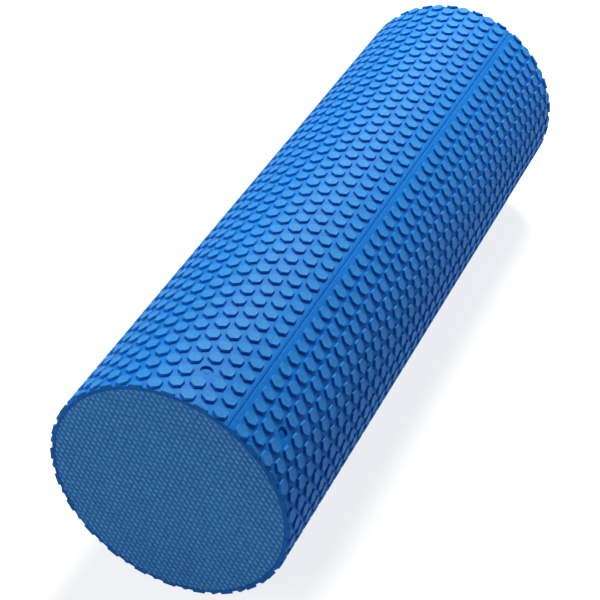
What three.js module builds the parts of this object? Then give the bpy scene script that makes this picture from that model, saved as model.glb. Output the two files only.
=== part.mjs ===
// Solid EVA foam roller lying on its side: a foam core, a studded skin sheet wrapped once round it
// with a lengthwise butt seam, and a thin textured pad let into each end.
// Millimetres, +Z up. The roller's axis runs along Y, its front end faces -Y, and the origin is on
// the floor under the middle of the roller. Angles are measured from +X towards +Z.
import * as THREE from 'three';

// Overall size.
const LENGTH = 450;
const TOP_RADIUS = 71.5; // over the stud tops, to the middle of each flat

// Build-up from the outside in.
const STUD_HEIGHT = 1.4;
const SHEET_THICKNESS = 2.0; // the skin sheet under the studs
const PAD_THICKNESS = 3.0;
const GLUE_GAP = 0.3; // room for the adhesive between two faces

// Round pieces are prisms of this many flats, one of them centred straight down.
const FLATS = 48;
const FLAT_ANGLE = (2 * Math.PI) / FLATS;
const DOWN = -Math.PI / 2;

// The butt seam of the skin.
const SEAM_ANGLE = THREE.MathUtils.degToRad(58);
const SEAM_GAP = 0.5;

const SKIN_BORE_RADIUS = TOP_RADIUS - STUD_HEIGHT - SHEET_THICKNESS;
const CORE_RADIUS = SKIN_BORE_RADIUS - GLUE_GAP;
const CORE_LENGTH = LENGTH - 2 * (PAD_THICKNESS + GLUE_GAP);

const foam = (color, roughness) => new THREE.MeshStandardMaterial({ color, roughness, metalness: 0 });
const SKIN_BLUE = foam('#3b86cf', 0.55);
const PAD_BLUE = foam('#33669c', 0.85);
const CORE_BLUE = foam('#2f6fb3', 0.9);

// Distance from the axis to a prism's side in a given direction.
function prismRadius(flatRadius, angle) {
  const fromFlat = THREE.MathUtils.euclideanModulo(angle - DOWN + FLAT_ANGLE / 2, FLAT_ANGLE) - FLAT_ANGLE / 2;
  return flatRadius / Math.cos(fromFlat);
}

const onPrism = (flatRadius, angle) =>
  new THREE.Vector2(Math.cos(angle), Math.sin(angle)).multiplyScalar(prismRadius(flatRadius, angle));

// Angles of the prism's corners after one angle and before another.
function cornersBetween(from, to) {
  const firstCorner = DOWN + FLAT_ANGLE / 2;
  const corners = [];
  for (let k = Math.ceil((from - firstCorner) / FLAT_ANGLE); firstCorner + k * FLAT_ANGLE < to; k += 1) {
    corners.push(firstCorner + k * FLAT_ANGLE);
  }
  return corners;
}

// Full round outline of a prism.
const roundOutline = (flatRadius) =>
  new THREE.Shape(cornersBetween(0, 2 * Math.PI).map((angle) => onPrism(flatRadius, angle)));

// The wrapped sheet in section: a ring open along the seam.
function skinOutline() {
  const halfSlit = SEAM_GAP / 2;
  const edge = (flatRadius, side) => SEAM_ANGLE + (side * halfSlit) / prismRadius(flatRadius, SEAM_ANGLE);
  const arc = (flatRadius) => {
    const from = edge(flatRadius, 1);
    const to = edge(flatRadius, -1) + 2 * Math.PI;
    return [from, ...cornersBetween(from, to), to].map((angle) => onPrism(flatRadius, angle));
  };
  return new THREE.Shape([...arc(TOP_RADIUS), ...arc(SKIN_BORE_RADIUS).reverse()]);
}

// A prism along Y. Its outline is drawn in the X-Z plane, and front is its lowest Y.
function prismAlongY(name, outline, length, front, material) {
  const geometry = new THREE.ExtrudeGeometry(outline, { depth: length, bevelEnabled: false });
  const mesh = new THREE.Mesh(geometry, material);
  mesh.name = name;
  mesh.rotation.x = Math.PI / 2; // the outline's Y becomes Z, and the extrusion runs towards -Y
  mesh.position.y = front + length;
  return mesh;
}

const roller = new THREE.Group();
roller.position.z = TOP_RADIUS;
roller.add(
  prismAlongY('foam_core', roundOutline(CORE_RADIUS), CORE_LENGTH, -CORE_LENGTH / 2, CORE_BLUE),
  prismAlongY('textured_skin', skinOutline(), LENGTH, -LENGTH / 2, SKIN_BLUE),
  prismAlongY('front_end_pad', roundOutline(CORE_RADIUS), PAD_THICKNESS, -LENGTH / 2, PAD_BLUE),
  prismAlongY('rear_end_pad', roundOutline(CORE_RADIUS), PAD_THICKNESS, LENGTH / 2 - PAD_THICKNESS, PAD_BLUE),
);

export default roller;
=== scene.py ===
"""Foam roller: the looks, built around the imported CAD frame.

Metres, +Z up. The roller lies on the floor along Y and its front end faces -Y. A place on its side
is given by its clock angle, from +X towards +Z, and by Y.

The studded skin and the pip-grained end pads are drawn flat, as sheets of hexagonal cells with one
stud or pip each, then cut to size and closed. The skin is wrapped round the core last of all.
"""

import math
import random

import bmesh
import bpy
from mathutils import Matrix, Vector, noise


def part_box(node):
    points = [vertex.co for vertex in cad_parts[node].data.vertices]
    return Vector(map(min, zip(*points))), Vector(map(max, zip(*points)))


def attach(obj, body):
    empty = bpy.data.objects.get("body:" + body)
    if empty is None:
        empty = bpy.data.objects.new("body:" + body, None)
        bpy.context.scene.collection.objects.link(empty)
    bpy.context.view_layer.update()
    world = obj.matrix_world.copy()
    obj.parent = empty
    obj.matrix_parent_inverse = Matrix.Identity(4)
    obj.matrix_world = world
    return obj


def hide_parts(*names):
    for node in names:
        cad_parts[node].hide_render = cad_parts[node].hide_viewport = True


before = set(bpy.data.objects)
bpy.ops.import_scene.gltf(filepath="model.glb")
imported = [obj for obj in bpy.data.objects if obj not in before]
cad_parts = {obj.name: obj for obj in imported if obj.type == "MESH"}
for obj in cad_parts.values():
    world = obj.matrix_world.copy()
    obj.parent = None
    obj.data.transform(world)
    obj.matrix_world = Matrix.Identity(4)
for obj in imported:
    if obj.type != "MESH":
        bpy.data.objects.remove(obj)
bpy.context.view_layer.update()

MM = 0.001
MICRONS = 1e6  # in a metre
NEAR = 1e-6  # a point this close to an edge of the sheet lies on it
CUT_NEAR = 1e-7  # and one this close to a cutting plane lies on that
SLIVER = 5e-6  # faces thinner than this are dissolved
SHARP_EDGE = math.radians(50)
random.seed(7)

# Places and sizes taken from the CAD frame.
skin_low, skin_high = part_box("textured_skin")
core_low, core_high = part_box("foam_core")
front_low, front_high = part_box("front_end_pad")
rear_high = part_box("rear_end_pad")[1]
TOP_RADIUS = (skin_high.x - skin_low.x) / 2
AXIS_HEIGHT = (skin_high.z + skin_low.z) / 2
FRONT_Y = skin_low.y
REAR_Y = skin_high.y
PAD_RADIUS = (front_high.x - front_low.x) / 2
PAD_THICKNESS = front_high.y - front_low.y

# The skin sheet and its butt seam.
STUD_HEIGHT = 1.4 * MM
GLUE_GAP = 0.3 * MM
BORE_RADIUS = PAD_RADIUS + GLUE_GAP
BASE_RADIUS = TOP_RADIUS - STUD_HEIGHT
SHEET_THICKNESS = BASE_RADIUS - BORE_RADIUS
SEAM_ANGLE = math.radians(57.8)
SEAM_SLIT = 0.04 * MM
SEAM_VALLEY, SEAM_VALLEY_WIDTH = 0.8 * MM, 0.8 * MM
SEAM_BEVEL, SEAM_BEVEL_WIDTH = 0.15 * MM, 0.3 * MM
SEAM_RIDGE, SEAM_RIDGE_WIDTH = 0.5 * MM, 4.0 * MM
END_BEVEL, END_BEVEL_WIDTH = 0.25 * MM, 0.2 * MM
SEAM_CUTS = (3.2 * MM, 1.6 * MM, 0.7 * MM, 0.35 * MM, 0.0)  # lines along the seam, from its edges
END_CUTS = (0.4 * MM, 0.0)  # and round the ends
SWELL = 0.12 * MM
SWELL_RATE = 2.2  # how quickly the swell changes from place to place
GIRTH = 2 * math.pi * BASE_RADIUS
SHEET_END = GIRTH - SEAM_SLIT / 2
BORE_STEPS = 180

# The stud field: columns run along Y, and every second one is shifted by half a pitch.
COLUMNS = 47
STUD_PITCH = 10.64 * MM
FIRST_COLUMN = 7.4 * MM  # from the seam to the first column, on the far side from +X
LAST_COLUMN = 6.8 * MM  # and on the near side
COLUMN_PITCH = (GIRTH - FIRST_COLUMN - LAST_COLUMN) / (COLUMNS - 1)
FIRST_STUD = 4.65 * MM  # the first column's first stud, from the front end

# The sheet was pulled tight towards its glued edges, and cut a little out of square. Its studs vary.
PULL = 1.0 * MM
SKEW = -0.9 * MM
STUD_WANDER = 0.06 * MM
LOWEST_STUD = 0.97  # of the full height

# A stud is a hexagon with two of its flats along the column, and its top is slightly dished. These
# are half widths across flats, and heights.
STUD_FOOT = 3.88 * MM
STUD_SHOULDER = 3.62 * MM
STUD_CROWN = 3.4 * MM
STUD_DISH = 2.6 * MM
SHOULDER_HEIGHT = 1.15 * MM
DISH_HEIGHT = STUD_HEIGHT - 0.14 * MM
CORNER_CUT = 0.5 * MM

# Two round moulding marks take the place of a stud, in the third column on each side of the seam.
MARK_COLUMNS = (2, COLUMNS - 3)
MARK_ROW = 2
MARK_CORNERS = 12
MARK_RINGS = (
    (3.6 * MM, 0.0),
    (3.4 * MM, -1.1 * MM),
    (2.3 * MM, -1.3 * MM),
    (1.2 * MM, -0.9 * MM),
)

# The pip grain of the end pads: rows of oval pips, every second row shifted by half a pitch.
PIP_PITCH = 3.32 * MM
PIP_ROW_PITCH = 3.17 * MM
PIP_TURN = math.radians(7.7 - 90)  # brings the rows from Y to 7.7 degrees above X
PIP_LEAN = math.radians(-62)  # of the ovals' long axis, from the rows' direction
PIP_CORNERS = 10
PIP_RINGS = ((1.72 * MM, 0.0), (1.35 * MM, 0.25 * MM), (0.75 * MM, 0.4 * MM))
PIP_HEIGHT = PIP_RINGS[-1][1]
PIP_WIDTH = 0.66  # of its length
LOWEST_PIP = 0.8  # of the full height
PIP_PROUD = 0.3 * MM  # how far the pips stand out of the skin's end
PAD_FIT = 0.24 * MM  # the pads are a closer fit in the skin than their CAD solids
PAD_BEVEL, PAD_BEVEL_DEPTH = 0.15 * MM, 0.2 * MM
PIP_SHEET_MARGIN = 2.5 * MM  # how far the sheet of pips reaches beyond the pad that is cut from it
RIM_STEPS = 180
RIM_CUTS = 90
RIM_BAND = 1 * MM  # points further inside the rim than this are left out of the cutting

# The core's ends are softened by a long and a short bevel.
CORE_BEVEL, CORE_EDGE = 1.5 * MM, 0.4 * MM

FLOOR_HALF = 6.0


# --------------------------------------------------------------------------- flat sheets of cells


def ring(count, turn, radius, height):
    """Points round a circle, the first at an angle of turn."""
    angles = [turn + 2 * math.pi * k / count for k in range(count)]
    return [(radius * math.cos(a), radius * math.sin(a), height) for a in angles]


def hexagon(half_width, height):
    """A hexagon with flats facing +-X."""
    return ring(6, math.radians(30), 2 * half_width / math.sqrt(3), height)


def cut_hexagon(half_width, height, cut):
    """The same, with each of its corners cut into two points."""
    corner = Vector((2 * half_width / math.sqrt(3), 0))
    points = []
    for k in range(6):
        angle = math.radians(30 + 60 * k)
        for sign in (-1, 1):
            along = Vector((-0.5, sign * math.sqrt(3) / 2)) * cut
            x, y = corner + along
            points.append((
                x * math.cos(angle) - y * math.sin(angle),
                x * math.sin(angle) + y * math.cos(angle),
                height,
            ))
    return points


def between_loops(outer, inner, first_outer, first_inner):
    """Triangles between two closed loops round the same centre, each in order of angle."""
    turn = 2 * math.pi

    def unrolled(loop):
        angles = [math.atan2(p[1], p[0]) % turn for p in loop]
        start = min(range(len(loop)), key=lambda k: angles[k])
        order = [(start + k) % len(loop) for k in range(len(loop))]
        return order, [angles[k] for k in order] + [angles[start] + turn]

    outer_order, outer_angles = unrolled(outer)
    inner_order, inner_angles = unrolled(inner)
    faces, i, j = [], 0, 0
    while i < len(outer) or j < len(inner):
        a = first_outer + outer_order[i % len(outer)]
        b = first_inner + inner_order[j % len(inner)]
        outer_left = i < len(outer)
        inner_left = j < len(inner)
        if not inner_left or (outer_left and outer_angles[i + 1] <= inner_angles[j + 1]):
            faces.append((a, first_outer + outer_order[(i + 1) % len(outer)], b))
            i += 1
        else:
            faces.append((a, first_inner + inner_order[(j + 1) % len(inner)], b))
            j += 1
    return faces


def cell(corners, rings):
    """A cell's points, its six corners first, and its faces. Its rings step in to a last, closed one."""
    points = list(corners)
    if not rings:
        return points, [tuple(range(len(corners)))]
    points += rings[0]
    faces = between_loops(corners, rings[0], 0, len(corners))
    for outer, inner in zip(rings, rings[1:]):
        low, high = len(points) - len(outer), len(points)
        points += inner
        if len(outer) == len(inner):
            count = len(inner)
            steps = [(k, (k + 1) % count) for k in range(count)]
            faces += [(low + a, low + b, high + b, high + a) for a, b in steps]
        else:
            faces += between_loops(outer, inner, low, high)
    faces.append(tuple(range(len(points) - len(rings[-1]), len(points))))
    return points, faces


class CellSheet:
    """A surface put together from cells that share their corners."""

    def __init__(self):
        self.points = []
        self.faces = []
        self.corner_index = {}

    def corner(self, x, y):
        """The index of the shared corner at x, y, to the nearest few microns."""
        key = (round(x * MICRONS), round(y * MICRONS))
        for dx in (-1, 0, 1):
            for dy in (-1, 0, 1):
                neighbour = (key[0] + dx, key[1] + dy)
                if neighbour in self.corner_index:
                    return self.corner_index[neighbour]
        self.corner_index[key] = len(self.points)
        self.points.append((x, y, 0.0))
        return self.corner_index[key]

    def add(self, x, y, points, faces, shift=(0, 0), stretch=1.0):
        """One cell centred at x, y. Its relief sits off centre by shift, its heights times stretch."""
        index = [self.corner(x + p[0], y + p[1]) for p in points[:6]]
        for px, py, pz in points[6:]:
            index.append(len(self.points))
            self.points.append((x + px + shift[0], y + py + shift[1], pz * stretch))
        self.faces += [tuple(index[k] for k in face) for face in faces]

    def mesh(self):
        made = bmesh.new()
        verts = [made.verts.new(p) for p in self.points]
        for face in self.faces:
            made.faces.new([verts[k] for k in face])
        return made


# --------------------------------------------------------------------------- the studded skin


def cell_corners(across, pitch):
    """A cell's six corners. Columns of cells run along Y: they are across apart, and cells pitch apart."""
    half = pitch / 2
    reach = (across * across + half * half) / (2 * across)
    shoulder = across - reach
    return [
        (reach, 0, 0),
        (shoulder, half, 0),
        (-shoulder, half, 0),
        (-reach, 0, 0),
        (-shoulder, -half, 0),
        (shoulder, -half, 0),
    ]


def stud_field():
    """The skin's outer face, drawn flat: X is the way round from the seam and Y is the roller's Y."""
    corners = cell_corners(COLUMN_PITCH, STUD_PITCH)
    stud = cell(corners, [
        cut_hexagon(STUD_FOOT, 0.0, CORNER_CUT),
        cut_hexagon(STUD_SHOULDER, SHOULDER_HEIGHT, CORNER_CUT),
        cut_hexagon(STUD_CROWN, STUD_HEIGHT, CORNER_CUT),
        hexagon(STUD_DISH, DISH_HEIGHT),
    ])
    blank = cell(corners, [])
    mark = cell(corners, [ring(MARK_CORNERS, 0, *size) for size in MARK_RINGS])
    rows = math.ceil((REAR_Y - FRONT_Y) / STUD_PITCH) + 2
    field = CellSheet()
    for column in range(-1, COLUMNS + 1):
        x = FIRST_COLUMN + column * COLUMN_PITCH
        start = FRONT_Y + FIRST_STUD + (column % 2) * STUD_PITCH / 2
        for row in range(-1, rows):
            y = start + row * STUD_PITCH
            if column in (-1, COLUMNS):
                field.add(x, y, *blank)
            elif column in MARK_COLUMNS and row == MARK_ROW:
                field.add(x, y, *mark)
            else:
                shift = (random.gauss(0, STUD_WANDER), random.gauss(0, STUD_WANDER))
                field.add(x, y, *stud, shift, random.uniform(LOWEST_STUD, 1.0))
    return field.mesh()


def pull_tight(sheet):
    """Draws the columns apart near the seam, and the rows a little askew."""
    for v in sheet.verts:
        turn = v.co.x / GIRTH
        v.co.x += PULL * math.sin(2 * math.pi * turn)
        v.co.y += SKEW * turn


def cut(sheet, point, normal, clear):
    """Cuts the sheet by a plane, and takes away what lies beyond it if clear."""
    parts = [*sheet.verts, *sheet.edges, *sheet.faces]
    bmesh.ops.bisect_plane(
        sheet, geom=parts, dist=CUT_NEAR, plane_co=point, plane_no=normal, clear_outer=clear
    )


def trim_skin(sheet):
    """Cuts the sheet to its edges, with a few lines just inside them for the edges' own shape."""
    for inset in SEAM_CUTS:
        clear = inset == 0.0
        cut(sheet, (SEAM_SLIT / 2 + inset, 0, 0), (-1, 0, 0), clear)
        cut(sheet, (SHEET_END - inset, 0, 0), (1, 0, 0), clear)
    for inset in END_CUTS:
        clear = inset == 0.0
        cut(sheet, (0, FRONT_Y + inset, 0), (0, -1, 0), clear)
        cut(sheet, (0, REAR_Y - inset, 0), (0, 1, 0), clear)


def rolled_off(depth, distance, width):
    """How far an edge sinks at a distance from it."""
    return depth * math.exp(-((distance / width) ** 2))


def edge_relief(x, y):
    """How the sheet's edges are rolled off. Along the seam, the edge on the -X side sits lower."""
    lift = -rolled_off(SEAM_VALLEY, x - SEAM_SLIT / 2, SEAM_VALLEY_WIDTH)
    lift -= rolled_off(SEAM_BEVEL, SHEET_END - x, SEAM_BEVEL_WIDTH)
    for distance in (y - FRONT_Y, REAR_Y - y):
        lift -= rolled_off(END_BEVEL, distance, END_BEVEL_WIDTH)
    return lift


def seam_ridge(x):
    """The stiff sheet springs up towards its glued edges, and the seam runs along a low ridge."""
    distance = min(x, GIRTH - x)
    return SEAM_RIDGE * math.exp(-distance / SEAM_RIDGE_WIDTH)


def foam_swell(angle, y):
    """The slow unevenness of a sheet glued by hand. It changes more slowly along the roller."""
    place = Vector((math.cos(angle), math.sin(angle), y / (4 * BASE_RADIUS)))
    return SWELL * noise.noise(place * SWELL_RATE)


def zip_chains(made, first, second, axis, material_index=0):
    """Triangles between two chains of points that run the same way and end level with each other."""
    i = j = 0
    while i + 1 < len(first) or j + 1 < len(second):
        at_end = j + 1 == len(second)
        if at_end or (i + 1 < len(first) and first[i + 1].co[axis] <= second[j + 1].co[axis]):
            corners = (first[i], first[i + 1], second[j])
            i += 1
        else:
            corners = (first[i], second[j + 1], second[j])
            j += 1
        made.faces.new(corners).material_index = material_index


def close_skin(sheet):
    """Adds the sheet's back, its two ends and its edges along the seam."""
    rim = dict.fromkeys(v for e in sheet.edges if e.is_boundary for v in e.verts)

    def side(axis, value):
        found = [v for v in rim if abs(v.co[axis] - value) < NEAR]
        return sorted(found, key=lambda v: v.co[1 - axis])

    left, right = side(0, SEAM_SLIT / 2), side(0, SHEET_END)
    front, rear = side(1, FRONT_Y), side(1, REAR_Y)
    back = []
    for k in range(BORE_STEPS + 1):
        x = SEAM_SLIT / 2 + (SHEET_END - SEAM_SLIT / 2) * k / BORE_STEPS
        back.append([sheet.verts.new((x, y, -SHEET_THICKNESS)) for y in (FRONT_Y, REAR_Y)])
    for edge, pair in ((left, back[0]), (right, back[-1])):
        zip_chains(sheet, edge, pair, 1)
    for edge, chain in ((front, [p[0] for p in back]), (rear, [p[1] for p in back])):
        zip_chains(sheet, edge, chain, 0, material_index=1)
    for a, b in zip(back, back[1:]):
        sheet.faces.new((a[0], b[0], b[1], a[1])).material_index = 1


def wrap(sheet):
    """Rolls the flat sheet round the core. Each point also keeps how high it stands on the sheet."""
    height = sheet.verts.layers.float.new("relief")
    for v in sheet.verts:
        x, y, h = v.co
        angle = SEAM_ANGLE + x / BASE_RADIUS
        v[height] = h / STUD_HEIGHT
        if h > -SHEET_THICKNESS:
            h += edge_relief(x, y) + foam_swell(angle, y)
            h = min(h, STUD_HEIGHT) + seam_ridge(x)
        radius = BASE_RADIUS + h
        v.co = (radius * math.cos(angle), y, AXIS_HEIGHT + radius * math.sin(angle))


def finish_mesh(name, made, materials):
    """A closed mesh object, with outward faces, crisp at its edges and smooth elsewhere."""
    many_sided = [f for f in made.faces if len(f.verts) > 4]
    bmesh.ops.triangulate(made, faces=many_sided)
    bmesh.ops.dissolve_degenerate(made, dist=SLIVER, edges=made.edges)
    bmesh.ops.recalc_face_normals(made, faces=made.faces)
    for face in made.faces:
        face.smooth = True
    data = bpy.data.meshes.new(name)
    made.to_mesh(data)
    made.free()
    data.set_sharp_from_angle(angle=SHARP_EDGE)
    for material in materials:
        data.materials.append(material)
    made_object = bpy.data.objects.new(name, data)
    bpy.context.scene.collection.objects.link(made_object)
    weighted = made_object.modifiers.new("flat_faces", "WEIGHTED_NORMAL")
    weighted.keep_sharp = True
    weighted.weight = 80  # out of 100: large faces count for more
    return made_object


def studded_skin(materials):
    sheet = stud_field()
    pull_tight(sheet)
    trim_skin(sheet)
    close_skin(sheet)
    wrap(sheet)
    return finish_mesh("studded_skin", sheet, materials)


# --------------------------------------------------------------------------- the end pads


def oval(radius, height):
    """One ring of a leaning oval pip."""
    points = []
    for x, y, z in ring(PIP_CORNERS, 0, radius, height):
        x *= PIP_WIDTH
        points.append((
            x * math.cos(PIP_LEAN) - y * math.sin(PIP_LEAN),
            x * math.sin(PIP_LEAN) + y * math.cos(PIP_LEAN),
            z,
        ))
    return points


def pip_field():
    """A sheet of pips, drawn flat round the origin, with its rows along Y."""
    corners = cell_corners(PIP_ROW_PITCH, PIP_PITCH)
    pip = cell(corners, [oval(radius, height) for radius, height in PIP_RINGS])
    reach = math.ceil(PAD_RADIUS / PIP_ROW_PITCH) + 2
    field = CellSheet()
    for row in range(-reach, reach + 1):
        for place in range(-reach, reach + 1):
            x = row * PIP_ROW_PITCH
            y = (place + (row % 2) / 2) * PIP_PITCH
            if math.hypot(x, y) < PAD_RADIUS + PIP_SHEET_MARGIN:
                field.add(x, y, *pip, stretch=random.uniform(LOWEST_PIP, 1.0))
    return field.mesh()


def boundary_loop(made):
    """The points round the outside of an open sheet, counterclockwise."""
    edge = next(e for e in made.edges if e.is_boundary)
    loop = [edge.verts[0]]
    while edge.other_vert(loop[-1]) is not loop[0]:
        loop.append(edge.other_vert(loop[-1]))
        edge = next(e for e in loop[-1].link_edges if e.is_boundary and e is not edge)
    area = sum(a.co.x * b.co.y - b.co.x * a.co.y for a, b in zip(loop, loop[1:] + loop[:1]))
    return loop if area > 0 else loop[::-1]


def cut_round(sheet, radius):
    """Cuts a disc out of the sheet, as a polygon, one side after another."""
    rim = [v for v in sheet.verts if v.co.length > radius - RIM_BAND]
    for k in range(RIM_CUTS):
        angle = 2 * math.pi * k / RIM_CUTS
        outward = Vector((math.cos(angle), math.sin(angle), 0))
        rim = [v for v in rim if v.is_valid]
        beyond = [v for v in rim if v.co.dot(outward) > radius]
        faces = dict.fromkeys(f for v in beyond for f in v.link_faces)
        edges = dict.fromkeys(e for f in faces for e in f.edges)
        verts = dict.fromkeys(v for f in faces for v in f.verts)
        result = bmesh.ops.bisect_plane(
            sheet, geom=[*verts, *edges, *faces], dist=CUT_NEAR,
            plane_co=outward * radius, plane_no=outward, clear_outer=True
        )
        rim += [part for part in result["geom_cut"] if isinstance(part, bmesh.types.BMVert)]


def close_pad(pad, radius):
    """Adds a bevelled rim and a plain back, which is glued down."""
    loops = [boundary_loop(pad)]
    for height in (-PAD_BEVEL_DEPTH, -PAD_THICKNESS):
        loops.append([pad.verts.new(p) for p in ring(RIM_STEPS, 0, radius, height)])
    for upper, lower in zip(loops, loops[1:]):
        verts = upper + lower
        places = [v.co for v in verts]
        count = len(upper)
        for face in between_loops(places[:count], places[count:], 0, count):
            pad.faces.new([verts[k] for k in face])
    pad.faces.new(loops[-1])


def end_pad(name, face_y, outward, materials):
    """One pad, cut from a sheet of pips and stood up so that it faces outward, along -Y or +Y."""
    pad = pip_field()
    bmesh.ops.rotate(pad, matrix=Matrix.Rotation(PIP_TURN, 3, "Z"), verts=pad.verts)
    radius = PAD_RADIUS + PAD_FIT
    cut_round(pad, radius - PAD_BEVEL)
    close_pad(pad, radius)
    height = pad.verts.layers.float.new("relief")
    for v in pad.verts:
        x, y, h = v.co
        v[height] = h / PIP_HEIGHT
        v.co = (x, face_y + outward * (h - PIP_HEIGHT + PIP_PROUD), AXIS_HEIGHT + y)
    return finish_mesh(name, pad, materials)


# --------------------------------------------------------------------------- the core


def core_block(materials):
    """The foam cylinder under the skin, with softened ends."""
    radius = (core_high.x - core_low.x) / 2
    length = core_high.y - core_low.y
    profile = [
        (0.0, 0.0),
        (radius - CORE_BEVEL, 0.0),
        (radius - CORE_EDGE, CORE_EDGE),
        (radius, CORE_BEVEL),
    ]
    profile += [(r, length - along) for r, along in reversed(profile)]
    block = bmesh.new()
    loops = []
    for r, along in profile:
        steps = RIM_STEPS if r > 0 else 1
        circle = ring(steps, 0, r, core_low.y + along)
        loops.append([block.verts.new((x, y, AXIS_HEIGHT + z)) for x, z, y in circle])
    for first, second in zip(loops, loops[1:]):
        for k in range(RIM_STEPS):
            after = (k + 1) % RIM_STEPS
            corners = (
                first[k % len(first)],
                first[after % len(first)],
                second[after % len(second)],
                second[k % len(second)],
            )
            block.faces.new(list(dict.fromkeys(corners)))
    return finish_mesh("core_block", block, materials)


# --------------------------------------------------------------------------- materials


def node(tree, kind, **inputs):
    """A new node, with values set on its inputs by name (spaces written as _)."""
    made = tree.nodes.new(kind)
    for name, value in inputs.items():
        made.inputs[name.replace("_", " ")].default_value = value
    return made


def ramp(tree, source, low, high, dark, light):
    """A colour running from dark to light as source runs from low to high."""
    made = tree.nodes.new("ShaderNodeValToRGB")
    made.color_ramp.elements[0].position = low
    made.color_ramp.elements[0].color = (*dark, 1)
    made.color_ramp.elements[1].position = high
    made.color_ramp.elements[1].color = (*light, 1)
    tree.links.new(source, made.inputs["Fac"])
    return made.outputs["Color"]


def spread(tree, source, low, high):
    """source, from 0 to 1, spread between low and high."""
    made = tree.nodes.new("ShaderNodeMapRange")
    made.inputs["To Min"].default_value = low
    made.inputs["To Max"].default_value = high
    tree.links.new(source, made.inputs["Value"])
    return made.outputs["Result"]


def mix(tree, factor, first, second, blend="MIX"):
    """Mixes a colour into another. The factor is a socket or a number."""
    made = tree.nodes.new("ShaderNodeMix")
    made.data_type = "RGBA"
    made.blend_type = blend
    if isinstance(factor, (int, float)):
        made.inputs["Factor"].default_value = factor
    else:
        tree.links.new(factor, made.inputs["Factor"])
    for socket, value in ((made.inputs["A"], first), (made.inputs["B"], second)):
        if isinstance(value, tuple):
            socket.default_value = (*value, 1)
        else:
            tree.links.new(value, socket)
    return made.outputs["Result"]


def noise_texture(tree, place, scale, detail, rough=0.55):
    made = node(tree, "ShaderNodeTexNoise", Scale=scale, Detail=detail, Roughness=rough)
    tree.links.new(place, made.inputs["Vector"])
    return made.outputs["Fac"]


def bump(tree, height, strength, distance, below=None):
    """A bump, on top of another one if given."""
    made = node(tree, "ShaderNodeBump", Strength=strength, Distance=distance)
    tree.links.new(height, made.inputs["Height"])
    if below is not None:
        tree.links.new(below, made.inputs["Normal"])
    return made.outputs["Normal"]


def foam_colour(tree, place, mottle, dark, light, tip_highlight):
    """A cloudy colour, turning to a painted highlight where the relief stands up, and speckled: raised
    tops read lighter as if lit, and the hollows stay darker as painted shade.
    """
    clouds = noise_texture(tree, place, scale=16.0, detail=3.0)
    colour = ramp(tree, clouds, 0.32, 0.68, dark, light)
    # Where the relief stands up the colour turns to the tip colour, a painted highlight on the tops, which
    # leaves the hollows between them as painted shade.
    if tip_highlight:
        relief = node(tree, "ShaderNodeAttribute")
        relief.attribute_name = "relief"
        raised = spread(tree, relief.outputs["Fac"], 0.0, 1.0)
        colour = mix(tree, raised, colour, tip_highlight)
    speck = ramp(tree, mottle, 0.38, 0.64, (0.70, 0.76, 0.84), (1.0, 1.0, 1.0))
    return mix(tree, 1.0, colour, speck, "MULTIPLY")


def foam_grain(tree, place, grain, grain_depth):
    """The bumps of the closed cells. The grain is their number in a metre."""
    cells = node(tree, "ShaderNodeTexVoronoi", Scale=grain)
    tree.links.new(place, cells.inputs["Vector"])
    lumps = noise_texture(tree, place, scale=700.0, detail=2.0)
    fine = noise_texture(tree, place, scale=grain * 0.9, detail=3.0, rough=0.7)
    normal = bump(tree, lumps, 0.5, 2.5 * grain_depth)
    normal = bump(tree, cells.outputs["Distance"], 0.35, grain_depth, normal)
    return bump(tree, fine, 0.5, grain_depth, normal)


def foam(name, dark, light, tip_highlight, roughness, specular, grain, grain_depth):
    """EVA foam: its colours run from dark to light, and to a painted highlight on raised places if that is
    given.
    """
    material = bpy.data.materials.new(name)
    material.use_nodes = True
    tree = material.node_tree
    shader = tree.nodes["Principled BSDF"]
    place = tree.nodes.new("ShaderNodeTexCoord").outputs["Object"]
    mottle = noise_texture(tree, place, scale=500.0, detail=4.0, rough=0.7)
    colour = foam_colour(tree, place, mottle, dark, light, tip_highlight)
    uneven = spread(tree, mottle, roughness - 0.1, roughness + 0.12)
    tree.links.new(colour, shader.inputs["Base Color"])
    tree.links.new(uneven, shader.inputs["Roughness"])
    tree.links.new(foam_grain(tree, place, grain, grain_depth), shader.inputs["Normal"])
    shader.inputs["Specular IOR Level"].default_value = specular
    return material


def seen_and_lent(tree, seen, lent):
    """A brightness that is one number to look at or reflect, and another as light on other things."""
    rays = tree.nodes.new("ShaderNodeLightPath")
    return spread(tree, rays.outputs["Is Diffuse Ray"], seen, lent)


def plain_floor():
    """A pale studio floor, which glows a little so that it stays pale away from the lights."""
    material = bpy.data.materials.new("floor_white")
    material.use_nodes = True
    tree = material.node_tree
    shader = tree.nodes["Principled BSDF"]
    shader.inputs["Base Color"].default_value = (0.3, 0.3, 0.3, 1)
    shader.inputs["Roughness"].default_value = 0.9
    shader.inputs["Specular IOR Level"].default_value = 0.1
    shader.inputs["Emission Color"].default_value = (1, 1, 1, 1)
    tree.links.new(seen_and_lent(tree, 0.68, 0.25), shader.inputs["Emission Strength"])
    return material


# --------------------------------------------------------------------------- stage


def make_camera():
    """Stands in front of the roller, to its right and above it, with a long lens."""
    turned, raised = math.radians(23.785), math.radians(37.237)
    data = bpy.data.cameras.new("camera")
    data.lens = 103.5
    data.sensor_width = 36.0
    data.clip_end = 20.0
    camera = bpy.data.objects.new("camera", data)
    camera.location = (0.3326, -0.8055, 0.7056)
    camera.rotation_euler = (math.pi / 2 - raised, 0, turned)
    bpy.context.scene.collection.objects.link(camera)
    bpy.context.scene.camera = camera


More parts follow.
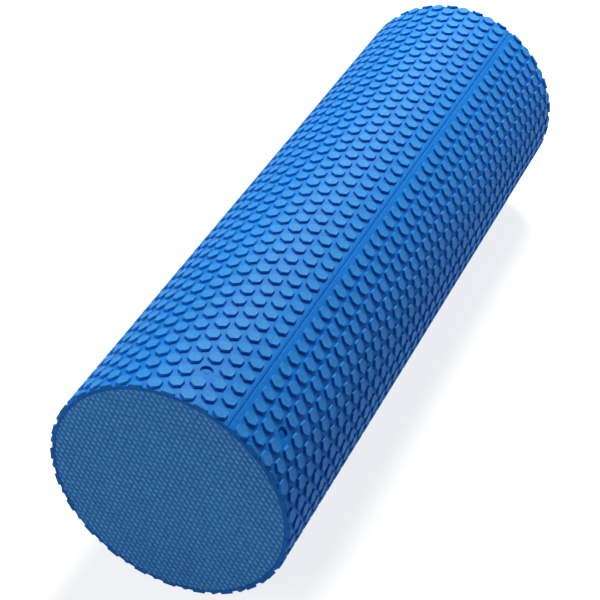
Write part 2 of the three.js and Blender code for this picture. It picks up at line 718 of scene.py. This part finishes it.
def area_light(name, place, size, watts, colour):
    """A round soft light, aimed at the middle of the roller."""
    middle = Vector((0, 0, AXIS_HEIGHT))
    data = bpy.data.lights.new(name, "AREA")
    data.shape = "DISK"
    data.size = size
    data.energy = watts
    data.color = colour
    light = bpy.data.objects.new(name, data)
    light.location = place
    light.rotation_euler = (middle - Vector(place)).to_track_quat("-Z", "Y").to_euler()
    bpy.context.scene.collection.objects.link(light)


def pale_studio():
    """Pale walls all round, to see and to reflect, which add little light of their own."""
    world = bpy.data.worlds.new("studio")
    world.use_nodes = True
    tree = world.node_tree
    walls = tree.nodes["Background"]
    walls.inputs["Color"].default_value = (0.95, 0.97, 1.0, 1)
    tree.links.new(seen_and_lent(tree, 0.95, 0.05), walls.inputs["Strength"])
    bpy.context.scene.world = world


def make_floor():
    signs = ((-1, -1), (1, -1), (1, 1), (-1, 1))
    corners = [(x * FLOOR_HALF, y * FLOOR_HALF, 0) for x, y in signs]
    data = bpy.data.meshes.new("floor")
    data.from_pydata(corners, [], [(0, 1, 2, 3)])
    data.materials.append(plain_floor())
    floor = bpy.data.objects.new("floor", data)
    bpy.context.scene.collection.objects.link(floor)


def make_stage():
    """The floor and walls, a high key light at the rear, a fill in front and a weak light at the side."""
    make_floor()
    pale_studio()
    area_light("key", (-0.24, 1.1, 1.65), size=0.85, watts=52, colour=(0.99, 1.0, 0.84))
    area_light("fill", (-1.35, -1.95, 0.9), size=1.2, watts=20, colour=(0.97, 0.93, 0.97))
    area_light("side", (1.5, 1.2, 0.6), size=1.0, watts=5.4, colour=(1.0, 0.78, 1.0))
    display = bpy.context.scene.view_settings
    display.view_transform = "Standard"
    display.look = "Medium High Contrast"


# --------------------------------------------------------------------------- the roller

make_camera()
make_stage()

skin_foam = foam(
    "skin_foam",
    # The skin's tip colour, whiter than light, is a painted sheen on the stud tops; the hollows between
    # the studs keep the darker colours as painted shade.
    dark=(0.003, 0.190, 0.605), light=(0.004, 0.218, 0.685), tip_highlight=(0.035, 0.258, 0.67),
    roughness=0.58, specular=0.18, grain=2600.0, grain_depth=0.12 * MM,
)
pad_foam = foam(
    "pad_foam",
    # The pads' tip colour, much lighter than light, is a painted highlight on the pips; the gaps between
    # them keep the darker colours as painted shade.
    dark=(0.045, 0.207, 0.482), light=(0.053, 0.234, 0.542), tip_highlight=(0.143, 0.400, 0.72),
    roughness=0.8, specular=0.15, grain=1900.0, grain_depth=0.1 * MM,
)
core_foam = foam(
    "core_foam",
    dark=(0.018, 0.150, 0.45), light=(0.024, 0.175, 0.52), tip_highlight=None,
    roughness=0.85, specular=0.15, grain=1400.0, grain_depth=0.2 * MM,
)

pieces = (
    (studded_skin([skin_foam, core_foam]), "textured_skin", "skin_foam"),
    (end_pad("front_pip_pad", front_low.y, -1, [pad_foam]), "front_end_pad", "pad_foam"),
    (end_pad("rear_pip_pad", rear_high.y, 1, [pad_foam]), "rear_end_pad", "pad_foam"),
    (core_block([core_foam]), "foam_core", "core_foam"),
)
for piece, cad_node, slot in pieces:
    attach(piece, "root")
    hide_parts(cad_node)
